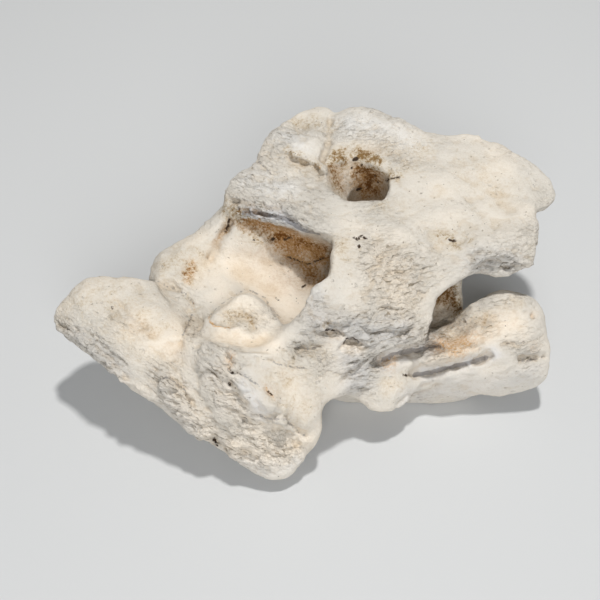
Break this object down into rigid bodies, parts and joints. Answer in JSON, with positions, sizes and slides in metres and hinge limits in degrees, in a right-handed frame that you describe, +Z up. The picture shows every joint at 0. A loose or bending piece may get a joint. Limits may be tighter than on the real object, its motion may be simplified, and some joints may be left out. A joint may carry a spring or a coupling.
{
  "type": "holey rock",
  "caption": "Pale water-worn limestone rock with an open basin, a round hole that tunnels through, a deep side notch and caves, resting on flat feet.",
  "frame": {"origin": "on the surface that the rock rests on, below the middle of its bounding box", "axes": "+X runs along its length from the pointed arm to the beak, +Y from the low front foot to the high flat crown, +Z up"},
  "size_m": [0.21, 0.1584, 0.0681],
  "materials": {
    "stone": "matt chalky limestone, finely pitted and grainy, with brown dirt in its hollows, small orange stains and black specks"
  },
  "bodies": {
    "root": {"rock": "stone"}
  },
  "joints": []
}
